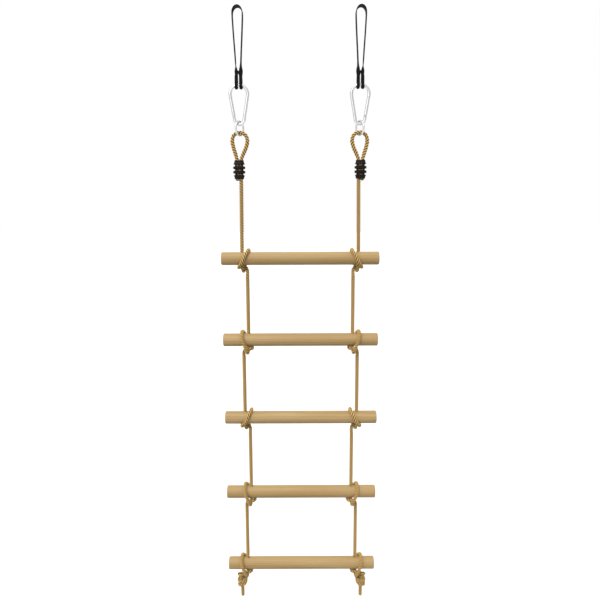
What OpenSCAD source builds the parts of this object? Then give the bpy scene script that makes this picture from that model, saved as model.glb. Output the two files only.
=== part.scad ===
// Five-rung wooden rope ladder on two webbing slings.
// Origin: midway between the inner crowns of the two sling loops. +X right, +Y back, +Z up.

/* [Rungs] */
// Length of each wooden rung
rung_length = 420; // [380:5:460]
// Diameter of each wooden rung
rung_d = 35; // [34.5:0.1:35.2]
// Radius that rounds the rung's end edges
rung_edge_r = 2.5; // [1:0.5:4]
// Distance between rung centres
rung_pitch = 222; // [210:1:260]
// Depth of the first rung's centre below the sling crowns
first_rung_drop = 630; // [625:1:660]

/* [Rope] */
// Diameter of the side ropes
rope_d = 9; // [8:0.1:9]
// Diameter of the rope holes through the rungs
rope_hole_d = 10; // [9.6:0.1:12]
// Distance of the first rung's rope holes from the ladder's middle
rope_out = 155; // [150:1:175]

/* [Snap hooks] */
// Diameter of the snap hook's steel wire
hook_wire_d = 8; // [7:0.1:8]
// Radius of the snap hook's wide end, to the middle of the wire
hook_wide_r = 22.5; // [22:0.1:24]
// Diameter of the gate's rivet
rivet_d = 3; // [2.6:0.1:3.2]

/* [Rings] */
// Diameter of the steel ring's wire
ring_wire_d = 5; // [4:0.1:5]
// Turn of each ring out of the ladder's plane
ring_turn = 60; // [58:1:66]

/* [Rope clamps] */
// Thickness of the plastic around each rope channel
clamp_wall = 2; // [1.8:0.1:2.4]
// Height of the rope windows in the clamp's grooves
clamp_window_h = 3; // [2:0.5:4]

/* [Slings] */
// Width of the flat webbing
webbing_w = 25; // [20:1:28]
// Thickness of the flat webbing
webbing_t = 2.2; // [1.8:0.1:2.6]

/* [Hidden] */

LEFT = -1;
RIGHT = 1;
rope_r = rope_d / 2;
rope_sides = 8;
rung_r = rung_d / 2;
// The rope leaves each hitch this far to one side of the hole that it came through
hitch_step = 13.5;
// Below each rung the rope bends at a pivot this far under the rung's centre
pivot_drop = 56;
// The rope above a pivot stops short of the round end of the rope below it
pivot_gap = rope_r + 0.3;

// ---- Rope routes ----
// Each point is [outboard, back, up]. A hitch is measured from its rung's hole: the first number
// runs towards the side that the rope leaves on, the second towards the side of the low bight.
hitch_route = [
  [0, 0, 22], [0, 0, -18], [0.8, 0.8, -25], [1.8, 4, -31.5], [2.3, 10, -34],
  [3.5, 17.5, -30.5], [6, 22, -20.5], [11, 23.4, -8], [15, 22.6, 4.5], [17, 17.8, 14.5],
  [17.5, 8, 21.4], [17, -3, 22.8], [14.5, -13.5, 18.6], [9.5, -20.8, 9.5], [4.5, -23, -1.5],
  [-0.5, -20.5, -11], [-5.2, -15, -18], [-8.4, -7, -22.5], [-9, 2.4, -23.3], [-4.8, 8.8, -23],
  [1.5, 10.8, -22.8], [7.5, 10, -24.8], [12, 7, -30], [13.5, 3, -38]
];
// The eye at the top of each rope, from its dead end round to the standing part
eye_route = [
  [7.6, 0, -425], [7.6, 0, -377], [11.5, 0, -360], [17, 0, -341], [19.5, 0, -325],
  [16, 0, -312.5], [8.5, 0, -306.5], [0, 0, -304.5], [-8.5, 0, -306.5], [-16, 0, -312.5],
  [-19.5, 0, -325], [-16, 0, -341], [-7, 0, -361], [-1.6, 0, -377]
];
clamp_out = 3;
channel_half = 4.6;
clamp_top = -374.4;
clamp_bands = [4, 6.5, 5, 6.6, 4.6, 6.6, 4.7, 5.5, 4];
eye_pivot_z = -433;
// The double overhand stopper and the tail below the last rung, measured from that rung's hole. The
// first point lies straight on from the end of the last hitch.
knot_route = [
  [12, 7, -30], [13, 2.5, -36], [16, -2, -41.5], [18, -4.2, -48.5], [18.5, -4.6, -56],
  [22.5, -3.2, -62.6], [26.8, 2, -64.5], [25, 10, -63.5], [18, 13.4, -61.5],
  [10.8, 10.8, -59.5], [7.8, 0.5, -57.5], [10.3, -10.5, -55.5], [18, -13.4, -54],
  [25.2, -10.2, -52.8], [28, 0, -52.2], [25.3, 10.6, -52], [18, 13.8, -51.8],
  [10.6, 10.8, -50.4], [7.4, 2, -48.8], [9.3, -8.5, -47], [17.2, -12.8, -43.5],
  [24, -9.3, -41.2], [27, -3.5, -38.5], [26.8, 2, -34.3], [23.8, 6.4, -32.2],
  [20.2, 8, -35.2], [18.8, 7.2, -41], [18.3, 5.4, -47], [18, 4.6, -53], [17.2, 4, -62], [17, 2, -70],
  [17, 0.8, -79], [17, 0.4, -92], [17, 0, -106]
];
// The straight stretches between the knot's points cut its corners, so its rope is drawn thinner
knot_rope_r = 3.9;

function rung_z(n) = -first_rung_drop - (n - 1) * rung_pitch;
// Odd rungs are drilled at rope_out, even ones nearer the middle
function hole_out(n) = n % 2 == 1 ? rope_out : rope_out - hitch_step;
// The rope leaves rungs 1 and 3 inboard and the others outboard
function leaves(n) = (n == 1 || n == 3) ? -1 : 1;
// The low bight is at the back on rungs 1 and 3 and at the front on the others
function bight(n) = (n == 1 || n == 3) ? 1 : -1;
function pivot_z(n) = n == 1 ? eye_pivot_z : rung_z(n - 1) - pivot_drop;
function pivot_out(n) = n == 1 ? rope_out - 1.6 : hole_out(n);
function hitch_point(side, n, p) =
  [side * (hole_out(n) + leaves(n) * p[0]), bight(n) * p[1], rung_z(n) + p[2]];
function placed(side, p) = [side * (rope_out + p[0]), p[1], p[2]];

// ---- Sweeps ----
function unit(v) = v / norm(v);
function tangents(p) =
  [for (i = [0:len(p) - 1]) unit(p[min(i + 1, len(p) - 1)] - p[max(i - 1, 0)])];
function square_to(n, t) = unit(n - (n * t) * t);
function normals(t, n0) =
  [for (i = 0, n = square_to(n0, t[0]); i < len(t);
        i = i + 1, n = i < len(t) ? square_to(n, t[i]) : n) n];
function tube_ring(p, t, n, r, sides) =
  [for (k = [0:sides - 1])
     p + r * (cos(360 * k / sides) * n + sin(360 * k / sides) * cross(t, n))];
function wall_faces(rings, sides, closed) =
  [for (i = [0:rings - (closed ? 1 : 2)]) for (k = [0:sides - 1]) for (half = [0, 1])
     let (a = i * sides + k,
          b = i * sides + (k + 1) % sides,
          c = ((i + 1) % rings) * sides + k,
          d = ((i + 1) % rings) * sides + (k + 1) % sides)
     half == 0 ? [a, c, d] : [a, d, b]];

// A round tube along points p with one radius per point
module tube(p, radii, sides = rope_sides, first = [0.31, 0.95, 0]) {
  t = tangents(p);
  n = normals(t, first);
  rings = [for (i = [0:len(p) - 1]) each tube_ring(p[i], t[i], n[i], radii[i], sides)];
  last = (len(p) - 1) * sides;
  polyhedron(rings, concat(
    wall_faces(len(p), sides, false),
    [[for (k = [0:sides - 1]) k]],
    [[for (k = [sides - 1:-1:0]) last + k]]));
}

// A rope whose first end is rounded about its pivot
module pivoted_rope(p) {
  pivot = p[0];
  round_end = [for (a = [75, 40]) pivot + [0, 0, rope_r * sin(a)]];
  round_radii = [for (a = [75, 40]) rope_r * cos(a)];
  tube(concat(round_end, p), concat(round_radii, [for (q = p) rope_r]));
}

// ---- Slings ----
// Half of the closed sling loop, from the crown to the bight that crosses the front of the hitch:
// [outboard, back, up], direction of the webbing's width, width, thickness
wrap_dir = [0.96, 0, -0.28];
sling_half = [
  [[0, 0, 1.1], [0, 1, 0], webbing_w, webbing_t],
  [[5.5, 0, -0.6], [0, 1, 0], webbing_w, webbing_t],
  [[10, 0, -5.5], [0, 1, 0], webbing_w, webbing_t],
  [[12.6, 0, -14], [0, 1, 0], webbing_w, webbing_t],
  [[12.4, 0, -32], [0, 1, 0], webbing_w, webbing_t],
  [[10.4, 0, -70], [0, 1, 0], webbing_w, webbing_t],
  [[8.1, 0, -108], [0, 1, 0], webbing_w, webbing_t],
  [[6.6, 0.4, -138], [0.06, 1, 0], 23, 2.3],
  [[6, 2, -149], [0.42, 0.9, 0], 16.5, 2.9],
  [[5.7, 4, -156.5], [0.88, 0.47, 0], 10.5, 3.4],
  [[5.6, 5.4, -163.5], [1, 0, 0], 7.8, 3.6],
  [[5.6, 6.8, -173], [1, 0, 0], 7.8, 3.6],
  [[5.6, 7.6, -187.4], wrap_dir, 7.8, 3.6],
  [[5.6, 6, -193.4], wrap_dir, 7.8, 3.6],
  [[5.6, 0, -195.9], wrap_dir, 7.8, 3.6],
  [[5.6, -6, -193.4], wrap_dir, 7.8, 3.6],
  [[5.6, -7.6, -187.4], wrap_dir, 7.8, 3.6],
  [[5.6, -7.2, -175], [1, 0, 0], 7.8, 3.6],
  [[5.4, -7.2, -166], [1, 0, 0.1], 7.4, 3.6],
  [[3.6, -7.5, -159.8], [0.7, 0, 0.7], 7.2, 3.6],
  [[0, -7.6, -157.6], [0, 0, 1], 7.2, 3.6]
];
function mirrored(s) = [[-s[0][0], s[0][1], s[0][2]], [-s[1][0], s[1][1], s[1][2]], s[2], s[3]];
// Past either crossing the width direction turns over, so its sign is kept in step with the first
function sling_loop() = concat(
  sling_half,
  [for (i = [len(sling_half) - 2:-1:1])
     let (m = mirrored(sling_half[i])) [m[0], i > 6 ? -m[1] : m[1], m[2], m[3]]]);
function keep_sign(d, w) = d * w < 0 ? -w : w;
function along(s) =
  [for (i = 0, w = s[0][1]; i < len(s);
        i = i + 1, w = i < len(s) ? keep_sign(w, s[i][1]) : w) w];

module sling(side) {
  s = sling_loop();
  count = len(s);
  w = along(s);
  rings = [for (i = [0:count - 1])
    let (p = placed(side, s[i][0]),
         t = unit(placed(side, s[(i + 1) % count][0]) - placed(side, s[(i + count - 1) % count][0])),
         across = square_to([side * w[i][0], w[i][1], w[i][2]], t),
         out = cross(t, across))
    each [for (c = [[1, 1], [-1, 1], [-1, -1], [1, -1]])
      p + across * c[0] * s[i][2] / 2 + out * c[1] * s[i][3] / 2]];
  color("#161616") polyhedron(rings, wall_faces(count, 4, true));
}

// ---- Snap hooks ----
hook_r = hook_wire_d / 2;
hook_top_z = -187;
hook_wide_z = hook_top_z - hook_wide_r;
hook_narrow_r = 12;
hook_bottom_z = -284;
hook_narrow_z = hook_bottom_z + hook_narrow_r;
hook_lean = asin((hook_wide_r - hook_narrow_r) / (hook_wide_z - hook_narrow_z));
hook_straight = (hook_wide_z - hook_narrow_z) * cos(hook_lean);
// Height of the gate's pivot and of its nose, measured up the gate's side from the narrow arc
gate_foot = 10;
gate_length = 44;
gate_tongue_t = 3;
gate_slot_w = 3.4;
gate_clear = 0.4;
// Slight beads that close the seams between the hook's arcs and its straight sides
weld_r = hook_r + 0.06;

// Places children on the leaning straight side, with Z running up it from the narrow arc
module on_straight(side) {
  translate([side * (rope_out + hook_narrow_r * cos(hook_lean)), 0,
             hook_narrow_z - hook_narrow_r * sin(hook_lean)])
    rotate([0, side * hook_lean, 0]) children();
}

// An arc of the hook's wire about a centre on the hook's middle line
module hook_arc(side, z, r, from, sweep) {
  translate([side * rope_out, 0, z])
    rotate([90, 0, 0])
      rotate([0, 0, from])
        rotate_extrude(angle = sweep, $fn = 96) translate([r, 0]) circle(r = hook_r, $fn = 32);
}

module hook_body(side) {
  inner = side == RIGHT ? LEFT : RIGHT;
  color("#c9ccd0")
    difference() {
      union() {
        hook_arc(side, hook_wide_z, hook_wide_r, -hook_lean, 180 + 2 * hook_lean);
        hook_arc(side, hook_narrow_z, hook_narrow_r, 180 + hook_lean, 180 - 2 * hook_lean);
        mirror_side(side) on_straight(inner) {
          cylinder(r = hook_r, h = hook_straight, $fn = 32);
          for (z = [0, hook_straight]) translate([0, 0, z]) sphere(r = weld_r, $fn = 32);
        }
        on_straight(side) {
          for (z = [0, hook_straight]) translate([0, 0, z]) sphere(r = weld_r, $fn = 32);
          cylinder(r = hook_r, h = gate_foot - hook_r - gate_clear, $fn = 32);
          translate([0, 0, gate_foot + gate_length + gate_clear])
            cylinder(r = hook_r, h = hook_straight - gate_foot - gate_length - gate_clear, $fn = 32);
          // Tongue that the gate's fork straddles
          translate([0, gate_tongue_t / 2, gate_foot]) rotate([90, 0, 0])
            cylinder(r = hook_r - gate_clear, h = gate_tongue_t, $fn = 32);
          translate([-hook_r + gate_clear, -gate_tongue_t / 2, gate_foot - hook_r - 1])
            cube([2 * hook_r - 2 * gate_clear, gate_tongue_t, hook_r + 1]);
          // Nose that enters the slot in the gate's free end
          translate([-hook_r + 1, -gate_tongue_t / 2, gate_foot + gate_length - 4.6])
            cube([2 * hook_r - 2, gate_tongue_t, 5.6]);
        }
      }
      on_straight(side) translate([0, 10, gate_foot]) rotate([90, 0, 0])
        cylinder(d = rivet_d, h = 20, $fn = 32);
    }
}

// The far straight side belongs to the same hook, so it is mirrored about the hook's middle line
module mirror_side(side) {
  translate([2 * side * rope_out, 0, 0]) children();
}

module gate(side) {
  color("#d7d9dc")
    on_straight(side) translate([0, 0, gate_foot])
      difference() {
        union() {
          sphere(r = hook_r, $fn = 32);
          cylinder(r = hook_r, h = gate_length, $fn = 32);
        }
        translate([-10, -gate_slot_w / 2, -10]) cube([20, gate_slot_w, 10 + hook_r + gate_clear]);
        translate([-10, -gate_slot_w / 2, gate_length - 6]) cube([20, gate_slot_w, 10]);
        translate([0, 10, 0]) rotate([90, 0, 0]) cylinder(d = rivet_d + 0.1, h = 20, $fn = 32);
        cylinder(d = 4.6, h = 26, $fn = 32);
      }
}

module gate_rivet(side) {
  color("#9a9da2")
    on_straight(side) translate([0, 0, gate_foot]) rotate([90, 0, 0]) {
      translate([0, 0, -4.6]) cylinder(d = rivet_d, h = 9.2, $fn = 32);
      translate([0, 0, 4.2]) cylinder(r1 = 2.4, r2 = 1.6, h = 0.7, $fn = 32);
      translate([0, 0, -4.9]) cylinder(r1 = 1.6, r2 = 2.4, h = 0.7, $fn = 32);
    }
}

module gate_plunger(side) {
  color("#b9bcc0")
    on_straight(side) translate([0, 0, gate_foot + hook_r + 0.1]) cylinder(d = 4, h = 4, $fn = 32);
}

module gate_spring(side) {
  turns = 7;
  steps = 8;
  spring_r = 1.6;
  base = gate_foot + hook_r + 4.7;
  color("#8d9196") on_straight(side)
    tube([for (i = [0:turns * steps])
            [spring_r * cos(360 * i / steps), spring_r * sin(360 * i / steps),
             base + 16 * i / (turns * steps)]],
         [for (i = [0:turns * steps]) 0.4], 6, [1, 0, 0]);
}

// ---- Rings ----
ring_height = 35.5;
ring_width = 33;
ring_top_z = -276.6;

// Half of the ring's wire: a bend with a short straight leg on each end
module ring_half() {
  bend = ring_width / 2;
  leg = (ring_height - ring_width) / 2;
  translate([0, 0, leg]) rotate([90, 0, 0])
    rotate_extrude(angle = 180, $fn = 96) translate([bend, 0]) circle(d = ring_wire_d, $fn = 24);
  for (end = [-1, 1])
    translate([end * bend, 0, 0]) cylinder(d = ring_wire_d, h = leg, $fn = 24);
}

module ring(side) {
  color("#d5d7da")
    translate([side * rope_out, 0, ring_top_z - ring_height / 2])
      rotate([0, 0, side * -ring_turn]) {
        ring_half();
        rotate([180, 0, 0]) ring_half();
      }
}

// ---- Rope eye and clamp ----
module rope_eye(side) {
  p = concat([for (q = eye_route) placed(side, q)],
             [placed(side, [-1.6, 0, eye_pivot_z + pivot_gap])]);
  color("#c79a4b") tube(p, [for (q = p) rope_r], rope_sides, [0, 1, 0]);
}

// A band of the clamp: two cones about the channels, joined by a flat web
module clamp_band(z, h, r_top, r_bottom) {
  translate([0, 0, z - h]) {
    for (end = [-1, 1])
      translate([end * channel_half, 0, 0]) cylinder(r1 = r_bottom, r2 = r_top, h = h, $fn = 48);
    translate([-channel_half, 0, 0]) rotate([90, 0, 90]) linear_extrude(2 * channel_half)
      polygon([[-r_bottom, 0], [r_bottom, 0], [r_top, h], [-r_top, h]]);
  }
}

function band_top(i) = i == 0 ? clamp_top : band_top(i - 1) - clamp_bands[i - 1];

module clamp_solid() {
  core = channel_half + clamp_wall;
  collar = 7.4;
  flare = 10.1;
  rib = 11.1;
  chamfer = 1.2;
  radii = [[collar, collar + 0.4], [collar + 0.4, flare], [core, core], [rib, rib], [core, core],
           [rib, rib], [core, core], [flare, collar + 0.4], [collar + 0.4, collar]];
  for (i = [0:len(clamp_bands) - 1])
    if (radii[i][0] == rib) {
      clamp_band(band_top(i), chamfer, rib - chamfer, rib);
      clamp_band(band_top(i) - chamfer, clamp_bands[i] - 2 * chamfer, rib, rib);
      clamp_band(band_top(i + 1) + chamfer, chamfer, rib, rib - chamfer);
    } else {
      clamp_band(band_top(i), clamp_bands[i], radii[i][0], radii[i][1]);
    }
}

// One half shell: face is -1 for the front shell and 1 for the back one
module clamp_shell(side, face) {
  color("#1b1b1b")
    translate([side * (rope_out + clamp_out), 0, 0])
      difference() {
        clamp_solid();
        translate([-50, face > 0 ? -50 : 0, clamp_top - 60]) cube([100, 50, 70]);
        for (end = [-1, 1])
          translate([end * channel_half, 0, clamp_top - 60]) cylinder(d = 9.2, h = 70, $fn = 48);
        for (i = [2, 4, 6])
          translate([-6.6, face > 0 ? 0 : -20, band_top(i) - clamp_bands[i] / 2 - clamp_window_h / 2])
            cube([13.2, 20, clamp_window_h]);
      }
}

// ---- Rungs ----
module rung(n) {
  half = rung_length / 2;
  color("#cfa873")
    translate([0, 0, rung_z(n)])
      difference() {
        rotate([0, 90, 0]) rotate_extrude($fn = 96) union() {
          translate([0, -half]) square([rung_r - rung_edge_r, rung_length]);
          translate([0, -half + rung_edge_r]) square([rung_r, rung_length - 2 * rung_edge_r]);
          for (end = [-1, 1])
            translate([rung_r - rung_edge_r, end * (half - rung_edge_r)])
              circle(r = rung_edge_r, $fn = 32);
        }
        for (side = [LEFT, RIGHT])
          translate([side * hole_out(n), 0, -rung_r - 1])
            cylinder(d = rope_hole_d, h = rung_d + 2, $fn = 48);
      }
}

// ---- Ropes ----
// The length of rope from one pivot through a rung and its hitch to the next pivot
module rope_length(side, n) {
  top = [[side * pivot_out(n), 0, pivot_z(n)]];
  last = len(hitch_route) - (n == 5 ? 2 : 1);
  hitch = [for (i = [0:last]) hitch_point(side, n, hitch_route[i])];
  below = n == 5 ? [] : [hitch_point(side, n, [hitch_step, 0, -46]),
                         hitch_point(side, n, [hitch_step, 0, pivot_gap - pivot_drop])];
  color("#c79a4b") pivoted_rope(concat(top, hitch, below));
}

module end_knot(side) {
  // It starts a little past the hitch's end, so that the two slanted end faces stay clear
  start = knot_route[0] + 0.25 * (knot_route[1] - knot_route[0]);
  p = [for (i = [0:len(knot_route) - 1]) hitch_point(side, 5, i == 0 ? start : knot_route[i])];
  color("#c79a4b") tube(p, [for (q = p) knot_rope_r]);
}

sling(LEFT);  // left_sling
sling(RIGHT);  // right_sling
hook_body(LEFT);  // left_hook_body
hook_body(RIGHT);  // right_hook_body
gate(LEFT);  // left_gate
gate(RIGHT);  // right_gate
gate_rivet(LEFT);  // left_gate_rivet
gate_rivet(RIGHT);  // right_gate_rivet
gate_plunger(LEFT);  // left_gate_plunger
gate_plunger(RIGHT);  // right_gate_plunger
gate_spring(LEFT);  // left_gate_spring
gate_spring(RIGHT);  // right_gate_spring
ring(LEFT);  // left_ring
ring(RIGHT);  // right_ring
rope_eye(LEFT);  // left_rope_eye
rope_eye(RIGHT);  // right_rope_eye
clamp_shell(LEFT, -1);  // left_clamp_front
clamp_shell(RIGHT, -1);  // right_clamp_front
clamp_shell(LEFT, 1);  // left_clamp_back
clamp_shell(RIGHT, 1);  // right_clamp_back
for (n = [1:5]) {
  rung(n);
  rope_length(LEFT, n);
  rope_length(RIGHT, n);
}
end_knot(LEFT);  // left_end_knot
end_knot(RIGHT);  // right_end_knot
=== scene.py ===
"""Looks of the rope ladder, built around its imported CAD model.

Lengths are in metres, in the CAD frame: the origin is midway between the inner crowns of the two
sling loops, +X runs right along the rungs, +Y to the back and +Z up.
"""

import math

import bpy
import numpy as np
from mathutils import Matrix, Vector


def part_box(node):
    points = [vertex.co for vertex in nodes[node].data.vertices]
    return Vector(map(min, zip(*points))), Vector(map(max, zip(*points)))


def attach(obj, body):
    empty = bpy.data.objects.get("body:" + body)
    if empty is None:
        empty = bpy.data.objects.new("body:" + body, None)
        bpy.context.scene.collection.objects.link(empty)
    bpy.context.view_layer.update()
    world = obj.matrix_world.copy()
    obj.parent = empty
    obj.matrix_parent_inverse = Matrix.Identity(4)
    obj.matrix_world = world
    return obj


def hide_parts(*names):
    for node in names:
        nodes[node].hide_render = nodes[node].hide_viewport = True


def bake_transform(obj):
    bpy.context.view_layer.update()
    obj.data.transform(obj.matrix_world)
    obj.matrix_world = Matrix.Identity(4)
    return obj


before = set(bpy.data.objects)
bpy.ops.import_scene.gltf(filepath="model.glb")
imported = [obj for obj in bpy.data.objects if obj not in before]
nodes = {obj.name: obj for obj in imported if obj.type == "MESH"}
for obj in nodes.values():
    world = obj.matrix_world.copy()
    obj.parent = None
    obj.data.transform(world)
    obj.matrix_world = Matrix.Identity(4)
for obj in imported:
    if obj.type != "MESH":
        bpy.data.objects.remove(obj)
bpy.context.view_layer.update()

MM = 0.001
SIDES = {"left": -1, "right": 1}
RUNGS = range(1, 6)


# ---- Camera ----
def make_camera():
    """The camera is level with the upper part of the ladder and tilted a little down."""
    data = bpy.data.cameras.new("camera")
    data.sensor_width = 36
    data.lens = 35
    camera = bpy.data.objects.new("camera", data)
    camera.location = (0, -1.555, -0.488)
    tilt_down = math.radians(9.3)
    roll = math.radians(0.23)
    camera.rotation_euler = (math.pi / 2 - tilt_down, roll, 0)
    bpy.context.scene.collection.objects.link(camera)
    bpy.context.scene.camera = camera


# ---- Rope routes, as part.scad has them ----
# Each point is [outboard, back, up] in millimetres. A hitch is measured from its rung's hole.
ROPE_D = 9 * MM
ROPE_R = ROPE_D / 2
HITCH_ROUTE = [
    [0, 0, 22], [0, 0, -18], [0.8, 0.8, -25], [1.8, 4, -31.5], [2.3, 10, -34],
    [3.5, 17.5, -30.5], [6, 22, -20.5], [11, 23.4, -8], [15, 22.6, 4.5], [17, 17.8, 14.5],
    [17.5, 8, 21.4], [17, -3, 22.8], [14.5, -13.5, 18.6], [9.5, -20.8, 9.5], [4.5, -23, -1.5],
    [-0.5, -20.5, -11], [-5.2, -15, -18], [-8.4, -7, -22.5], [-9, 2.4, -23.3],
    [-4.8, 8.8, -23], [1.5, 10.8, -22.8], [7.5, 10, -24.8], [12, 7, -30], [13.5, 3, -38],
]
EYE_ROUTE = [
    [7.6, 0, -425], [7.6, 0, -377], [11.5, 0, -360], [17, 0, -341], [19.5, 0, -325],
    [16, 0, -312.5], [8.5, 0, -306.5], [0, 0, -304.5], [-8.5, 0, -306.5], [-16, 0, -312.5],
    [-19.5, 0, -325], [-16, 0, -341], [-7, 0, -361], [-1.6, 0, -377], [-1.6, 0, -404],
]
KNOT_ROUTE = [
    [12, 7, -30], [13, 2.5, -36], [16, -2, -41.5], [18, -4.2, -48.5], [18.5, -4.6, -56],
    [22.5, -3.2, -62.6], [26.8, 2, -64.5], [25, 10, -63.5], [18, 13.4, -61.5],
    [10.8, 10.8, -59.5], [7.8, 0.5, -57.5], [10.3, -10.5, -55.5], [18, -13.4, -54],
    [25.2, -10.2, -52.8], [28, 0, -52.2], [25.3, 10.6, -52], [18, 13.8, -51.8],
    [10.6, 10.8, -50.4], [7.4, 2, -48.8], [9.3, -8.5, -47], [17.2, -12.8, -43.5],
    [24, -9.3, -41.2], [27, -3.5, -38.5], [26.8, 2, -34.3], [23.8, 6.4, -32.2],
    [20.2, 8, -35.2], [18.8, 7.2, -41], [18.3, 5.4, -47], [18, 4.6, -53], [17.2, 4, -62],
    [17, 2, -70], [17, 0.8, -79], [17, 0.4, -92], [17, 0, -106],
]
ROPE_OUT = 155
HITCH_STEP = 13.5
PIVOT_DROP = 56
EYE_PIVOT_Z = -433
CLAMP_MIDDLE_Z = -398
# The rope's lowest point under a hitch, before the next bay's pivot
BELOW_HITCH = -46
# The rope passes this far above the eye's pivot, on its way down from the clamp
ABOVE_EYE_PIVOT = 12
# Where the rope hangs free, measured from a rung's centre, and in the eye from the origin
FREE_BELOW_RUNG = -40
FREE_ABOVE_RUNG = 19
TAIL_FREE = (-70, -120)
EYE_FREE = (-318, -366)


def rung_z(n):
    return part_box(f"rung_{n}")[0].z / 2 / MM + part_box(f"rung_{n}")[1].z / 2 / MM


def hole_out(n):
    return ROPE_OUT if n % 2 else ROPE_OUT - HITCH_STEP


def hitch_points(side, n, route):
    """A hitch's points: it leaves rungs 1 and 3 inboard with its low bight at the back."""
    leaves, bight = (-1, 1) if n in (1, 3) else (1, -1)
    return [[side * (hole_out(n) + leaves * x), bight * y, rung_z(n) + z] for x, y, z in route]


def pivot(n):
    """The pivot at the top of bay n: [outboard, up]."""
    if n == 1:
        return [ROPE_OUT - 1.6, EYE_PIVOT_Z]
    return [hole_out(n), rung_z(n - 1) - PIVOT_DROP]


def smooth_path(points, step):
    """Centripetal Catmull-Rom curve through the points, sampled about every step."""
    p = np.array(points, float)
    p = np.vstack([2 * p[0] - p[1], p, 2 * p[-1] - p[-2]])
    out = []
    for a, b, c, d in zip(p, p[1:], p[2:], p[3:]):
        t0 = 0.0
        t1 = t0 + math.sqrt(np.linalg.norm(b - a))
        t2 = t1 + math.sqrt(np.linalg.norm(c - b))
        t3 = t2 + math.sqrt(np.linalg.norm(d - c))
        count = max(2, int(math.ceil(np.linalg.norm(c - b) / step)))
        t = np.linspace(t1, t2, count, endpoint=False)[:, None]
        ab = (t1 - t) / (t1 - t0) * a + (t - t0) / (t1 - t0) * b
        bc = (t2 - t) / (t2 - t1) * b + (t - t1) / (t2 - t1) * c
        cd = (t3 - t) / (t3 - t2) * c + (t - t2) / (t3 - t2) * d
        abc = (t2 - t) / (t2 - t0) * ab + (t - t0) / (t2 - t0) * bc
        bcd = (t3 - t) / (t3 - t1) * bc + (t - t1) / (t3 - t1) * cd
        out.append((t2 - t) / (t2 - t1) * abc + (t - t1) / (t2 - t1) * bcd)
    return np.vstack(out + [p[-2:-1]])


def tangents(path):
    t = np.gradient(path, axis=0)
    return t / np.linalg.norm(t, axis=1)[:, None]


def side_vectors(t, first):
    """A vector square to each tangent, carried along without twisting about it."""
    n = np.empty_like(t)
    v = np.array(first, float)
    for i, ti in enumerate(t):
        v = v - v.dot(ti) * ti
        v /= np.linalg.norm(v)
        n[i] = v
    return n


def arc_length(path):
    return np.r_[0, np.cumsum(np.linalg.norm(np.diff(path, axis=0), axis=1))]


# ---- Meshes ----
def new_piece(name, verts, faces, corners, layer, material):
    """A smooth-shaded mesh object with one UV layer, given per face corner."""
    mesh = bpy.data.meshes.new(name)
    mesh.from_pydata(verts.tolist(), [], faces)
    mesh.uv_layers.new(name=layer).data.foreach_set("uv", np.array(corners, np.float32).ravel())
    mesh.polygons.foreach_set("use_smooth", [True] * len(mesh.polygons))
    mesh.materials.append(material)
    mesh.update()
    piece = bpy.data.objects.new(name, mesh)
    bpy.context.scene.collection.objects.link(piece)
    return piece


def loft(name, rings, along, around, layer, material, closed=False):
    """A skin over rings of points. around has one value more than a ring has points."""
    count, sides = rings.shape[:2]
    faces = []
    corners = []
    for i in range(count if closed else count - 1):
        j = (i + 1) % count
        for k in range(sides):
            m = (k + 1) % sides
            faces.append([i * sides + k, i * sides + m, j * sides + m, j * sides + k])
            a, b = around[k], around[k + 1]
            corners += [[along[i], a], [along[i], b], [along[i + 1], b], [along[i + 1], a]]
    if not closed:
        faces.append(list(range(sides - 1, -1, -1)))
        corners += [[along[0], around[k]] for k in range(sides - 1, -1, -1)]
        faces.append([(count - 1) * sides + k for k in range(sides)])
        corners += [[along[-1], around[k]] for k in range(sides)]
    return new_piece(name, rings.reshape(-1, 3), faces, corners, layer, material)


# Three strands, each a round that stands out of the rope's core. The two sides' ropes are laid
# up with opposite hands, as they look to be on the real one. Their
# crowns stand proud of the nominal diameter on the free lengths, and less where the rope is
# pulled tight round a rung or in the knot.
CROWN_PROUD = 1.12
FREE_SWELL = 0.10
SWELL_REACH = 8 * MM
STRANDS = 3
STRAND_OFFSET = 0.5
STRAND_R = 0.54
LAY_LENGTH = 21.3 * MM
RING_STEP = 1.2
POINTS_PER_STRAND = 10


def strand_profile():
    """The rope's outline round its section, as a share of its radius."""
    angle = np.linspace(0, 2 * math.pi, STRANDS * POINTS_PER_STRAND, endpoint=False)
    off = (angle + math.pi / STRANDS) % (2 * math.pi / STRANDS) - math.pi / STRANDS
    reach = np.sqrt(STRAND_R**2 - (STRAND_OFFSET * np.sin(off)) ** 2)
    outline = STRAND_OFFSET * np.cos(off) + reach
    return angle, CROWN_PROUD * outline / outline.max()


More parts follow.
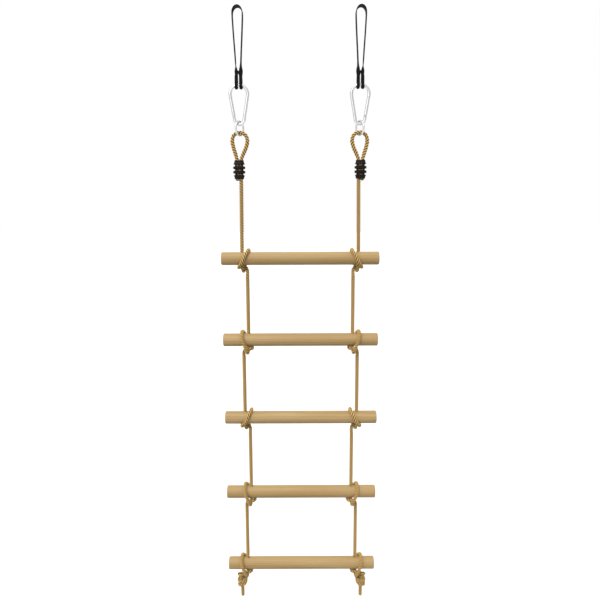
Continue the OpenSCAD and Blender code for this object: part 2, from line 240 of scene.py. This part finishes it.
def rope_piece(name, points, hand, material, round_ends=(False, False), free=None):
    """A laid rope along the points, in millimetres. Returns the piece and its path in metres.

    hand is 1 or -1, the way the strands turn. free gives the top and bottom of the length that
    hangs free, or None where none does.
    """
    path = smooth_path(points, RING_STEP) * MM
    s = arc_length(path)
    r = np.full(len(path), ROPE_R)
    if free:
        top, bottom = free
        inside = np.minimum(top * MM - path[:, 2], path[:, 2] - bottom * MM) / SWELL_REACH
        r *= 1 + FREE_SWELL * np.clip(inside, 0, 1)
    for end, rounded in zip((0, -1), round_ends):
        if rounded:
            gap = np.abs(s - s[end])
            dome = ROPE_R * 0.9
            near = gap < dome
            r[near] *= np.sqrt(np.clip(1 - (1 - gap[near] / dome) ** 2, 0.05, 1))
    t = tangents(path)
    n = side_vectors(t, (0.31, 0.95, 0.05))
    b = np.cross(t, n)
    angle, outline = strand_profile()
    turn = angle[None, :] + hand * 2 * math.pi * s[:, None] / LAY_LENGTH
    reach = r[:, None] * outline[None, :]
    rings = path[:, None, :] + reach[..., None] * (
        np.cos(turn)[..., None] * n[:, None, :] + np.sin(turn)[..., None] * b[:, None, :])
    around = np.linspace(0, 1, len(angle) + 1)
    return loft(name, rings, s, around, "lay", material), path


# ---- Material nodes ----
class Nodes:
    """Short calls for the nodes of one material."""

    def __init__(self, name):
        self.material = bpy.data.materials.new(name)
        self.material.use_nodes = True
        self.tree = self.material.node_tree
        self.shader = self.tree.nodes["Principled BSDF"]

    def add(self, kind, settings=None, **inputs):
        node = self.tree.nodes.new(kind)
        for key, value in (settings or {}).items():
            setattr(node, key, value)
        for key, value in inputs.items():
            self.set(node.inputs[key.replace("_", " ")], value)
        return node

    def set(self, socket, value):
        if isinstance(value, bpy.types.NodeSocket):
            self.tree.links.new(value, socket)
        else:
            socket.default_value = value

    def math(self, operation, a, b=0.0):
        node = self.tree.nodes.new("ShaderNodeMath")
        node.operation = operation
        self.set(node.inputs[0], a)
        self.set(node.inputs[1], b)
        return node.outputs[0]

    def stretched(self, coordinates, scale, offset=(0, 0, 0)):
        node = self.add("ShaderNodeMapping", Scale=scale, Location=offset)
        self.set(node.inputs["Vector"], coordinates)
        return node.outputs["Vector"]

    def noise(self, vector, scale, detail=3.0, roughness=0.5):
        node = self.add("ShaderNodeTexNoise", Scale=scale, Detail=detail, Roughness=roughness)
        self.set(node.inputs["Vector"], vector)
        return node.outputs["Fac"]

    def ramp(self, factor, stops):
        node = self.tree.nodes.new("ShaderNodeValToRGB")
        self.set(node.inputs["Fac"], factor)
        elements = node.color_ramp.elements
        while len(elements) < len(stops):
            elements.new(0.5)
        for element, (place, colour) in zip(elements, stops):
            element.position = place
            element.color = (*colour, 1)
        return node.outputs["Color"]

    def mix(self, factor, a, b, blend="MIX"):
        node = self.tree.nodes.new("ShaderNodeMix")
        node.data_type = "RGBA"
        node.blend_type = blend
        self.set(node.inputs["Factor"], factor)
        for socket, value in zip((node.inputs[6], node.inputs[7]), (a, b)):
            self.set(socket, value if isinstance(value, bpy.types.NodeSocket) else (*value, 1))
        return node.outputs[2]

    def scaled(self, factor, low, high):
        node = self.add("ShaderNodeMapRange", To_Min=low, To_Max=high)
        self.set(node.inputs["Value"], factor)
        return node.outputs["Result"]

    def bump(self, height, distance, strength=1.0, normal=None):
        node = self.add("ShaderNodeBump", Distance=distance, Strength=strength, Height=height)
        if normal is not None:
            self.set(node.inputs["Normal"], normal)
        return node.outputs["Normal"]

    def finish(self, **sockets):
        for key, value in sockets.items():
            self.set(self.shader.inputs[key.replace("_", " ")], value)
        return self.material


def object_coordinates(n):
    return n.add("ShaderNodeTexCoord").outputs["Object"]


def uv_parts(n, layer):
    split = n.add("ShaderNodeSeparateXYZ")
    n.set(split.inputs[0], n.add("ShaderNodeUVMap", {"uv_map": layer}).outputs["UV"])
    return split.outputs["X"], split.outputs["Y"]


def joined(n, x, y, z=0.0):
    node = n.tree.nodes.new("ShaderNodeCombineXYZ")
    for socket, value in zip(node.inputs, (x, y, z)):
        n.set(socket, value)
    return node.outputs[0]


def rope_material():
    """Golden twisted rope: painted shade between the strands and between the yarns across each
    strand.
    """
    n = Nodes("twisted_rope")
    along, around = uv_parts(n, "lay")
    strand = n.math("MULTIPLY", around, STRANDS)
    phase = n.math("FRACT", strand)
    # 1 on the crown of a strand, 0 in the groove between two
    crown = n.math("ABSOLUTE", n.math("SUBTRACT", n.math("MULTIPLY", phase, 2.0), 1.0))
    yarns_per_strand = 5
    yarn_slope = 900
    lean = n.math("ADD", n.math("MULTIPLY", phase, yarns_per_strand),
                  n.math("MULTIPLY", along, yarn_slope))
    yarn = n.math("MULTIPLY_ADD", n.math("SINE", n.math("MULTIPLY", lean, 2 * math.pi)), 0.5)
    yarn.node.inputs[2].default_value = 0.5
    flow = joined(n, n.math("MULTIPLY", along, 60), n.math("MULTIPLY", strand, 6.0))
    fine = joined(n, n.math("MULTIPLY", lean, 3.0), n.math("MULTIPLY", along, 250))
    fibres = n.noise(fine, 2.0, 4, 0.6)
    patches = n.noise(flow, 1.0, 2)
    golden = n.ramp(patches, [(0.3, (0.74, 0.455, 0.115)), (0.5, (0.84, 0.535, 0.150)),
                              (0.7, (0.90, 0.600, 0.195))])
    # Painted shade: the colour is darker in the hollows between the yarns, where the bump sinks
    threads = n.mix(n.scaled(yarn, 0.0, 0.42), golden, (0.44, 0.245, 0.055))
    flecked = n.mix(n.scaled(fibres, 0.0, 0.35), threads, (0.86, 0.64, 0.29))
    # Painted shade: the colour goes to near black in the grooves between the strands
    groove = n.ramp(crown, [(0.22, (0.0, 0.0, 0.0)), (0.86, (1.0, 1.0, 1.0))])
    shaded = n.mix(groove, (0.085, 0.036, 0.007), flecked)
    height = n.math("ADD", n.math("MULTIPLY", yarn, -1.0), fibres)
    return n.finish(Base_Color=shaded, Roughness=n.scaled(fibres, 0.52, 0.78),
                    Normal=n.bump(height, 0.25 * MM, 0.8), Sheen_Weight=0.08, Sheen_Roughness=0.45,
                    Specular_IOR_Level=0.3)


def wood_material(rung):
    """Pale beech dowel: fine lengthwise grain, growth lines and short dark pores."""
    n = Nodes(f"dowel_wood_{rung}")
    heart = (0.11 * rung, 0.031 * math.sin(2.1 * rung), 0.034 * math.cos(1.7 * rung))
    place = n.stretched(object_coordinates(n), (1, 1, 1),
                        (heart[0], heart[1], heart[2] - rung_z(rung) * MM))
    wobble = n.noise(n.stretched(place, (2.2, 14, 14)), 1.0, 3)
    split = n.add("ShaderNodeSeparateXYZ")
    n.set(split.inputs[0], place)
    squares = [n.math("POWER", n.math("ABSOLUTE", split.outputs[axis]), 2.0) for axis in "YZ"]
    across = n.math("SQRT", n.math("ADD", *squares))
    growth_angle_per_m = 840
    wavy = n.math("ADD", across, n.math("MULTIPLY", wobble, 0.012))
    growth = n.math("SINE", n.math("MULTIPLY", wavy, growth_angle_per_m))
    lines = n.math("POWER", n.math("ABSOLUTE", growth), 3.0)
    streaks = n.noise(n.stretched(place, (7, 330, 330)), 1.0, 4, 0.6)
    broad = n.noise(n.stretched(place, (3, 38, 38)), 1.0, 2)
    pores = n.ramp(n.noise(n.stretched(place, (55, 1500, 1500)), 1.0, 2),
                   [(0.64, (0, 0, 0)), (0.72, (1, 1, 1))])
    pale = n.ramp(broad, [(0.32, (0.40, 0.265, 0.104)), (0.52, (0.455, 0.315, 0.132)),
                          (0.7, (0.505, 0.36, 0.17))])
    grained = n.mix(n.scaled(streaks, 0.0, 0.6), pale, (0.29, 0.172, 0.06))
    ringed = n.mix(n.scaled(lines, 0.0, 0.30), grained, (0.24, 0.135, 0.046))
    colour = n.mix(n.math("MULTIPLY", pores, 0.5), ringed, (0.17, 0.085, 0.028))
    height = n.math("ADD", n.math("MULTIPLY", streaks, 0.7), n.math("MULTIPLY", pores, -0.8))
    return n.finish(Base_Color=colour, Roughness=n.scaled(streaks, 0.42, 0.62),
                    Normal=n.bump(height, 0.12 * MM, 0.6), Specular_IOR_Level=0.42)


def steel_material(name, colour, rough_low, rough_high):
    """Bright wire: fine draw lines, faint clouding and small scuffs."""
    n = Nodes(name)
    place = object_coordinates(n)
    clouds = n.noise(place, 160, 3)
    scuffs = n.noise(n.stretched(place, (900, 900, 160)), 1.0, 4, 0.7)
    dark = tuple(c * 0.80 for c in colour)
    shade = n.mix(n.scaled(clouds, 0.0, 0.5), colour, dark)
    return n.finish(Base_Color=shade, Metallic=1.0,
                    Roughness=n.scaled(scuffs, rough_low, rough_high),
                    Normal=n.bump(scuffs, 0.03 * MM, 0.5))


def plastic_material():
    """Moulded black plastic with a fine grain and slightly dusty faces."""
    n = Nodes("moulded_plastic")
    place = object_coordinates(n)
    grain = n.noise(place, 2600, 2)
    dust = n.noise(place, 210, 4, 0.6)
    colour = n.ramp(dust, [(0.35, (0.003, 0.0025, 0.0025)), (0.7, (0.008, 0.0065, 0.0065))])
    return n.finish(Base_Color=colour, Roughness=n.scaled(dust, 0.38, 0.6),
                    Normal=n.bump(grain, 0.06 * MM, 0.5), Specular_IOR_Level=0.14)


def melted_material():
    n = Nodes("melted_rope_end")
    lumps = n.noise(object_coordinates(n), 900, 3)
    colour = n.ramp(lumps, [(0.35, (0.010, 0.007, 0.005)), (0.7, (0.045, 0.025, 0.012))])
    return n.finish(Base_Color=colour, Roughness=n.scaled(lumps, 0.25, 0.5),
                    Normal=n.bump(lumps, 0.4 * MM, 0.8))


def webbing_material():
    """Black webbing: ribs across the strap, split by the warp threads along it, with painted shade
    in the weave's hollows.
    """
    n = Nodes("woven_webbing")
    along, across = uv_parts(n, "weave")
    pick = 1.5 * MM
    warp = 1.25 * MM
    row = n.math("MULTIPLY", along, 1 / pick)
    column = n.math("MULTIPLY", across, 1 / warp)
    shift = n.math("MULTIPLY", n.math("FLOOR", column), 0.5)
    rib = n.math("ABSOLUTE", n.math("SINE", n.math("MULTIPLY", n.math("ADD", row, shift), math.pi)))
    cord = n.math("ABSOLUTE", n.math("SINE", n.math("MULTIPLY", column, math.pi)))
    weave = n.math("MULTIPLY", rib, n.math("POWER", cord, 0.5))
    fuzz = joined(n, n.math("MULTIPLY", along, 900), n.math("MULTIPLY", across, 900))
    fluff = n.noise(fuzz, 1.0, 4)
    # Painted shade: the black is darker still in the hollows of the weave, where the bump sinks
    thread = n.mix(n.scaled(weave, 0.0, 1.0), (0.0012, 0.0012, 0.0014), (0.011, 0.011, 0.012))
    colour = n.mix(n.scaled(fluff, 0.0, 0.25), thread, (0.022, 0.022, 0.024))
    height = n.math("ADD", weave, n.math("MULTIPLY", fluff, 0.3))
    return n.finish(Base_Color=colour, Roughness=n.scaled(fluff, 0.55, 0.8),
                    Normal=n.bump(height, 0.3 * MM, 0.9), Sheen_Weight=0.01, Sheen_Roughness=0.4,
                    Specular_IOR_Level=0.08)


# ---- Slings ----
# Half of the loop, as part.scad has it, from the crown to the bight in front of the hitch:
# [outboard, back, up], direction of the webbing's width, width, thickness, in millimetres
WEBBING_W = 25
WEBBING_T = 2.2
WRAP_DIR = [0.96, 0, -0.28]
SLING_HALF = [
    [[0, 0, 1.1], [0, 1, 0], WEBBING_W, WEBBING_T],
    [[5.5, 0, -0.6], [0, 1, 0], WEBBING_W, WEBBING_T],
    [[10, 0, -5.5], [0, 1, 0], WEBBING_W, WEBBING_T],
    [[12.6, 0, -14], [0, 1, 0], WEBBING_W, WEBBING_T],
    [[12.4, 0, -32], [0, 1, 0], WEBBING_W, WEBBING_T],
    [[10.4, 0, -70], [0, 1, 0], WEBBING_W, WEBBING_T],
    [[8.1, 0, -108], [0, 1, 0], WEBBING_W, WEBBING_T],
    [[6.6, 0.4, -138], [0.06, 1, 0], 23, 2.3],
    [[6, 2, -149], [0.42, 0.9, 0], 16.5, 2.9],
    [[5.7, 4, -156.5], [0.88, 0.47, 0], 10.5, 3.4],
    [[5.6, 5.4, -163.5], [1, 0, 0], 7.8, 3.6],
    [[5.6, 6.8, -173], [1, 0, 0], 7.8, 3.6],
    [[5.6, 7.6, -187.4], WRAP_DIR, 7.8, 3.6],
    [[5.6, 6, -193.4], WRAP_DIR, 7.8, 3.6],
    [[5.6, 0, -195.9], WRAP_DIR, 7.8, 3.6],
    [[5.6, -6, -193.4], WRAP_DIR, 7.8, 3.6],
    [[5.6, -7.6, -187.4], WRAP_DIR, 7.8, 3.6],
    [[5.6, -7.2, -175], [1, 0, 0], 7.8, 3.6],
    [[5.4, -7.2, -166], [1, 0, 0.1], 7.4, 3.6],
    [[3.6, -7.5, -159.8], [0.7, 0, 0.7], 7.2, 3.6],
    [[0, -7.6, -157.6], [0, 0, 1], 7.2, 3.6],
]
SLING_SAMPLES = 6
SLING_SIDES = 44
PLEATS = 3
PLEAT_DEPTH = 0.16
PLEAT_SQUEEZE = 0.14


def sling_stations():
    """The whole loop's stations: one row each of place, width direction, width and thickness."""
    rows = [[*place, *wide, width, thick] for place, wide, width, thick in SLING_HALF]
    back = [[-r[0], r[1], r[2], -r[3], r[4], r[5], r[6], r[7]] for r in rows[-2:0:-1]]
    rows = np.array(rows + back, float)
    for i in range(1, len(rows)):
        if rows[i, 3:6].dot(rows[i - 1, 3:6]) < 0:
            rows[i, 3:6] *= -1
    return rows


def closed_curve(rows, samples):
    """Catmull-Rom through rows that close on themselves, column by column."""
    out = []
    for i in range(len(rows)):
        a, b, c, d = (rows[(i + k) % len(rows)] for k in (-1, 0, 1, 2))
        for t in np.linspace(0, 1, samples, endpoint=False):
            out.append(0.5 * (2 * b + (c - a) * t + (2 * a - 5 * b + 4 * c - d) * t**2
                              + (3 * b - a - 3 * c + d) * t**3))
    return np.array(out)


def sling_piece(name, side, material):
    """Webbing that lies flat at the crown and is gathered into pleats round the hook."""
    rows = sling_stations()
    seam_flips = rows[0, 3:6].dot(rows[-1, 3:6]) < 0
    curve = closed_curve(rows, SLING_SAMPLES)
    if seam_flips:
        last = SLING_SAMPLES * (len(rows) - 2)
        curve[last:, 3:6] = rows[-1, 3:6]
    place = curve[:, :3] * [side, 1, 1] + [side * ROPE_OUT, 0, 0]
    t = np.roll(place, -1, axis=0) - np.roll(place, 1, axis=0)
    t /= np.linalg.norm(t, axis=1)[:, None]
    wide = curve[:, 3:6] * [side, 1, 1]
    wide -= (wide * t).sum(1)[:, None] * t
    wide /= np.linalg.norm(wide, axis=1)[:, None]
    out = np.cross(t, wide)
    angle = np.linspace(0, 2 * math.pi, SLING_SIDES, endpoint=False)
    u = np.sign(np.cos(angle)) * np.abs(np.cos(angle)) ** 0.35
    v = np.sign(np.sin(angle)) * np.abs(np.sin(angle)) ** 0.6
    width, thick = curve[:, 6:7], curve[:, 7:8]
    gathered = np.clip((WEBBING_W - width) / 12, 0, 1)
    pleats = gathered * PLEAT_DEPTH * thick * np.cos(PLEATS * math.pi * u)[None, :]
    rise = thick / 2 * v[None, :] * (1 - PLEAT_SQUEEZE * gathered) + np.sign(v)[None, :] * pleats
    spread = width / 2 * u[None, :]
    rings = (place[:, None, :] + spread[..., None] * wide[:, None, :]
             + rise[..., None] * out[:, None, :])
    length = np.r_[arc_length(place), 0]
    length[-1] = length[-2] + np.linalg.norm(place[0] - place[-1])
    around = np.r_[u, u[:1]] * WEBBING_W / 2 * MM
    return loft(name, rings * MM, length * MM, around, "weave", material, closed=True)


# ---- Clamp details ----
def melted_end(name, side, material):
    """The black melted tip of the rope's dead end, just below its clamp."""
    x = side * (ROPE_OUT + EYE_ROUTE[0][0])
    heights = [-419.5, -421.8, -423.6, -425.2, -426.2, -426.7]
    radii = [4.45, 4.5, 4.6, 4.1, 2.9, 1.1]
    angle = np.linspace(0, 2 * math.pi, 24, endpoint=False)
    lumps = 1 + 0.05 * np.sin(3 * angle + side) + 0.03 * np.sin(5 * angle)
    rings = np.array([[[x + r * lump * math.cos(a), r * lump * math.sin(a), z]
                       for a, lump in zip(angle, lumps)] for z, r in zip(heights, radii)])
    around = np.linspace(0, 1, len(angle) + 1)
    return loft(name, rings[:, ::-1] * MM, np.array(heights) * MM, around, "lay", material)


def side_ropes(side_name, rope, melted):
    """One side's rope. It is cut where the cut is hidden: in the clamp and in each rung's hole."""
    side = SIDES[side_name]
    eye_points = [[side * (ROPE_OUT + x), y, z] for x, y, z in EYE_ROUTE]
    eye, path = rope_piece(f"{side_name}_eye_rope", eye_points, side, rope, free=EYE_FREE)
    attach(eye, f"{side_name}_eye")
    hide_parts(f"{side_name}_rope_eye")
    tip = melted_end(f"{side_name}_melted_end", side, melted)
    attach(tip, f"{side_name}_eye")

    for n in RUNGS:
        out, top = pivot(n)
        if n == 1:
            above = [[side * out, 0, CLAMP_MIDDLE_Z], [side * out, 0, top + ABOVE_EYE_PIVOT]]
        else:
            start = hitch_points(side, n - 1, [[0, 0, 1]])
            below = hitch_points(side, n - 1, [[HITCH_STEP, 0, BELOW_HITCH]])
            above = start + hitch_points(side, n - 1, HITCH_ROUTE[1:]) + below
        below = [[side * out, 0, top]] + hitch_points(side, n, [[0, 0, 22], [0, 0, -1]])
        free_top = EYE_PIVOT_Z + ABOVE_EYE_PIVOT if n == 1 else rung_z(n - 1) + FREE_BELOW_RUNG
        free = (free_top, rung_z(n) + FREE_ABOVE_RUNG)
        piece, path = rope_piece(f"{side_name}_side_rope_{n}", above + below, side, rope, free=free)
        # The right side's clamp moves exactly as the left one, which is the one with the joint
        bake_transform(piece)
        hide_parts(f"{side_name}_rope_{n}")

    points = hitch_points(side, 5, [[0, 0, 1]] + HITCH_ROUTE[1:-2] + KNOT_ROUTE)
    free = [rung_z(5) + z for z in TAIL_FREE]
    end, path = rope_piece(f"{side_name}_end_rope", points, side, rope, (False, True), free)
    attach(end, "bay_5")
    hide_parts(f"{side_name}_end_knot")


# ---- Stage ----
FLOOR_Z = -1.95
FILL_BELOW = 0.32
FILL_ABOVE = 1.05
SUN_STRENGTH = 1.5


def make_world():
    """A white backdrop, which lights the ladder from above more than from below."""
    world = bpy.data.worlds.new("studio")
    bpy.context.scene.world = world
    world.use_nodes = True
    tree = world.node_tree
    backdrop = tree.nodes["Background"]
    backdrop.inputs["Color"].default_value = (1, 1, 1, 1)
    backdrop.inputs["Strength"].default_value = 1.0
    height = tree.nodes.new("ShaderNodeSeparateXYZ")
    tree.links.new(tree.nodes.new("ShaderNodeTexCoord").outputs["Generated"], height.inputs[0])
    spread = tree.nodes.new("ShaderNodeMapRange")
    spread.inputs["From Min"].default_value = -1.0
    tree.links.new(height.outputs["Z"], spread.inputs["Value"])
    fade = tree.nodes.new("ShaderNodeValToRGB")
    tree.links.new(spread.outputs["Result"], fade.inputs["Fac"])
    ends = fade.color_ramp.elements
    ends[0].position, ends[0].color = 0.25, (FILL_BELOW, FILL_BELOW, FILL_BELOW, 1)
    ends[1].position, ends[1].color = 0.8, (FILL_ABOVE, FILL_ABOVE, FILL_ABOVE, 1)
    fill = tree.nodes.new("ShaderNodeBackground")
    tree.links.new(fade.outputs["Color"], fill.inputs["Color"])
    pick = tree.nodes.new("ShaderNodeMixShader")
    tree.links.new(tree.nodes.new("ShaderNodeLightPath").outputs["Is Camera Ray"], pick.inputs[0])
    tree.links.new(fill.outputs[0], pick.inputs[1])
    tree.links.new(backdrop.outputs[0], pick.inputs[2])
    tree.links.new(pick.outputs[0], tree.nodes["World Output"].inputs["Surface"])


def make_light(name, kind, place, aim, energy):
    data = bpy.data.lights.new(name, kind)
    data.energy = energy
    light = bpy.data.objects.new(name, data)
    light.location = place
    direction = np.array(aim) - np.array(place)
    light.rotation_euler = (math.acos(-direction[2] / np.linalg.norm(direction)), 0,
                            math.atan2(direction[1], direction[0]) - math.pi / 2)
    bpy.context.scene.collection.objects.link(light)
    return data


def make_stage():
    """A pale floor well below the hanging ladder, and plain soft studio light."""
    reach = 30
    corners = [(-reach, -reach), (reach, -reach), (reach, reach), (-reach, reach)]
    mesh = bpy.data.meshes.new("floor")
    mesh.from_pydata([(x, y, FLOOR_Z) for x, y in corners], [], [[0, 1, 2, 3]])
    n = Nodes("floor_paint")
    paint = n.ramp(n.noise(object_coordinates(n), 3, 2),
                   [(0.3, (0.88, 0.88, 0.88)), (0.7, (0.92, 0.92, 0.92))])
    mesh.materials.append(n.finish(Base_Color=paint, Roughness=0.9))
    floor = bpy.data.objects.new("floor", mesh)
    bpy.context.scene.collection.objects.link(floor)
    # The floor throws no light back, so the undersides of the rungs stay dark
    floor.visible_diffuse = False

    make_world()
    sun = make_light("overhead", "SUN", (-0.5, -1.1, 1.6), (0, 0, 0), SUN_STRENGTH)
    sun.angle = math.radians(40)
    key = make_light("key", "AREA", (-1.5, -2.4, 0.6), (0, 0, -0.8), 22)
    key.size = 1.6
    bpy.context.scene.view_settings.view_transform = "Standard"


# ---- Assembly ----
def repaint(node, material):
    data = nodes[node].data
    data.materials.clear()
    data.materials.append(material)


make_camera()
rope = rope_material()
melted = melted_material()
webbing = webbing_material()
bright = steel_material("bright_wire", (0.63, 0.63, 0.64), 0.28, 0.42)
plain = steel_material("plain_steel", (0.55, 0.56, 0.58), 0.25, 0.42)
plastic = plastic_material()

for side_name, side in SIDES.items():
    side_ropes(side_name, rope, melted)
    sling = sling_piece(f"{side_name}_webbing_sling", side, webbing)
    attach(sling, "root")
    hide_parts(f"{side_name}_sling")
    for part in ("hook_body", "gate", "ring"):
        repaint(f"{side_name}_{part}", bright)
    for part in ("gate_rivet", "gate_plunger", "gate_spring"):
        repaint(f"{side_name}_{part}", plain)
    for part in ("clamp_front", "clamp_back"):
        repaint(f"{side_name}_{part}", plastic)
for n in RUNGS:
    repaint(f"rung_{n}", wood_material(n))
make_stage()
